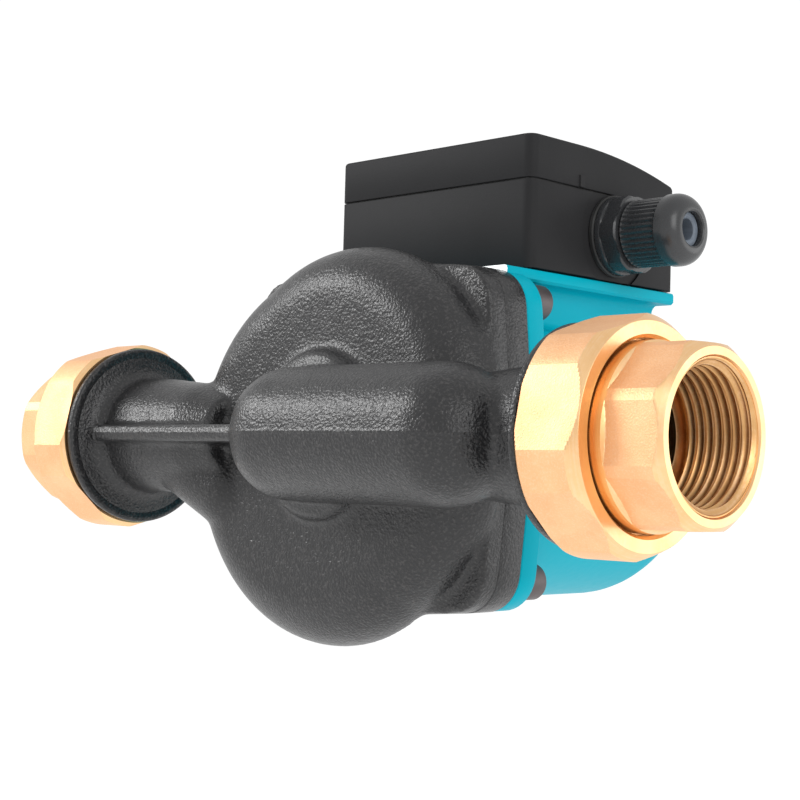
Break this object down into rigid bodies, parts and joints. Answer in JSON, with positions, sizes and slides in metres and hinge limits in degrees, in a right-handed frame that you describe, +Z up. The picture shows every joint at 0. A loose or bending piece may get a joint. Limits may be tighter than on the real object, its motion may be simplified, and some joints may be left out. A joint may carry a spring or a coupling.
{
  "type": "in-line circulation pump",
  "caption": "Wet-rotor in-line circulation pump with cast volute, finned outlet neck, brass threaded unions, cylindrical motor and a terminal box with a cable gland.",
  "frame": {"origin": "point where the pipe's axis and the motor's axis cross, midway between the two port faces", "axes": "+X along the pipe towards the inlet, +Y along the motor to its rear, +Z up towards the terminal box"},
  "size_m": [0.2354, 0.1473, 0.1371],
  "materials": {
    "iron": "coarse textured black paint on sand-cast iron",
    "teal": "smooth satin paint on a die casting",
    "brass": "sand-cast skin with turned faces",
    "box": "satin moulded plastic",
    "gland": "glossy moulded plastic",
    "claw": "matt moulded plastic",
    "cable_seal": "matt blue-grey rubber",
    "rubber": "matt",
    "fibre": "pressed fibre",
    "stainless": "pressed and turned stainless steel",
    "screw": "dark phosphated steel",
    "zinc_screw": "zinc plated",
    "lamination": "stacked sheet steel",
    "end_ring": "cast aluminium",
    "copper": "varnished copper wire",
    "ceramic": "ground ceramic",
    "carbon": "ground carbon",
    "impeller": "glass-filled plastic",
    "white_plastic": "moulded plastic",
    "grey_plastic": "moulded plastic",
    "label": "brushed sheet",
    "lead": "wire insulation"
  },
  "bodies": {
    "pump": {"pump_housing": "iron", "wear_ring": "stainless", "housing_seal": "rubber", "bearing_plate": "stainless", "front_bearing": "carbon", "rotor_can": "stainless", "rear_bearing": "carbon", "motor_housing": "teal", "stator_core": "lamination", "stator_winding": "copper", "motor_screws": "screw", "motor_screw_washers": "screw", "vent_plug_seal": "rubber", "rating_plate": "label", "box_seat_gasket": "rubber", "terminal_box_base": "box", "cover_gasket": "rubber", "terminal_box_cover": "box", "cover_screws": "zinc_screw", "box_screws": "zinc_screw", "earth_screw": "brass", "terminal_block": "white_plastic", "terminal_screws": "zinc_screw", "capacitor": "white_plastic", "speed_switch": "grey_plastic", "lead_grommet": "rubber", "stator_leads": "lead", "gland_washer": "rubber", "gland_body": "gland", "gland_locknut": "gland", "gland_seal": "cable_seal", "gland_claw": "claw", "inlet_gasket": "fibre", "outlet_gasket": "fibre"},
    "rotor": {"impeller": "impeller", "impeller_shroud": "impeller", "rotor_shaft": "ceramic", "thrust_washer": "carbon", "rotor_core": "lamination", "rotor_end_rings": "end_ring", "rotor_sleeve": "stainless"},
    "inlet_tail": {"inlet_tailpiece": "brass"},
    "inlet_nut": {"inlet_union_nut": "brass"},
    "outlet_tail": {"outlet_tailpiece": "brass"},
    "outlet_nut": {"outlet_union_nut": "brass"},
    "knob": {"speed_knob": "white_plastic"},
    "vent": {"vent_plug": "brass"},
    "gland_cap": {"gland_nut": "gland"}
  },
  "joints": [
    {"name": "rotor_spin", "type": "hinge", "parent": "pump", "child": "rotor", "pos_m": [0, 0.02, 0], "axis": [0, 1, 0], "continuous": true},
    {"name": "inlet_tail_slide", "type": "slide", "parent": "pump", "child": "inlet_tail", "axis": [1, 0, 0], "range_m": [0, 0.0059]},
    {"name": "inlet_nut_turn", "type": "hinge", "parent": "inlet_tail", "child": "inlet_nut", "pos_m": [0.092, 0, 0], "axis": [1, 0, 0], "range_deg": [0, 900]},
    {"name": "outlet_tail_slide", "type": "slide", "parent": "pump", "child": "outlet_tail", "axis": [-1, 0, 0], "range_m": [0, 0.0059]},
    {"name": "outlet_nut_turn", "type": "hinge", "parent": "outlet_tail", "child": "outlet_nut", "pos_m": [-0.092, 0, 0], "axis": [-1, 0, 0], "range_deg": [0, 900]},
    {"name": "speed_knob_turn", "type": "hinge", "parent": "pump", "child": "knob", "pos_m": [-0.014, 0.1, 0.0582], "axis": [0, 1, 0], "range_deg": [-40, 40]},
    {"name": "vent_plug_turn", "type": "hinge", "parent": "pump", "child": "vent", "pos_m": [0, 0.11, 0], "axis": [0, 1, 0], "range_deg": [0, 180]},
    {"name": "gland_cap_turn", "type": "hinge", "parent": "pump", "child": "gland_cap", "pos_m": [0.055, 0.071, 0.0582], "axis": [1, 0, 0], "range_deg": [0, 180]}
  ],
  "couplings": [
    {"joint": "inlet_tail_slide", "follows": "inlet_nut_turn", "m_per_rad": 0.00036749},
    {"joint": "outlet_tail_slide", "follows": "outlet_nut_turn", "m_per_rad": 0.00036749}
  ]
}
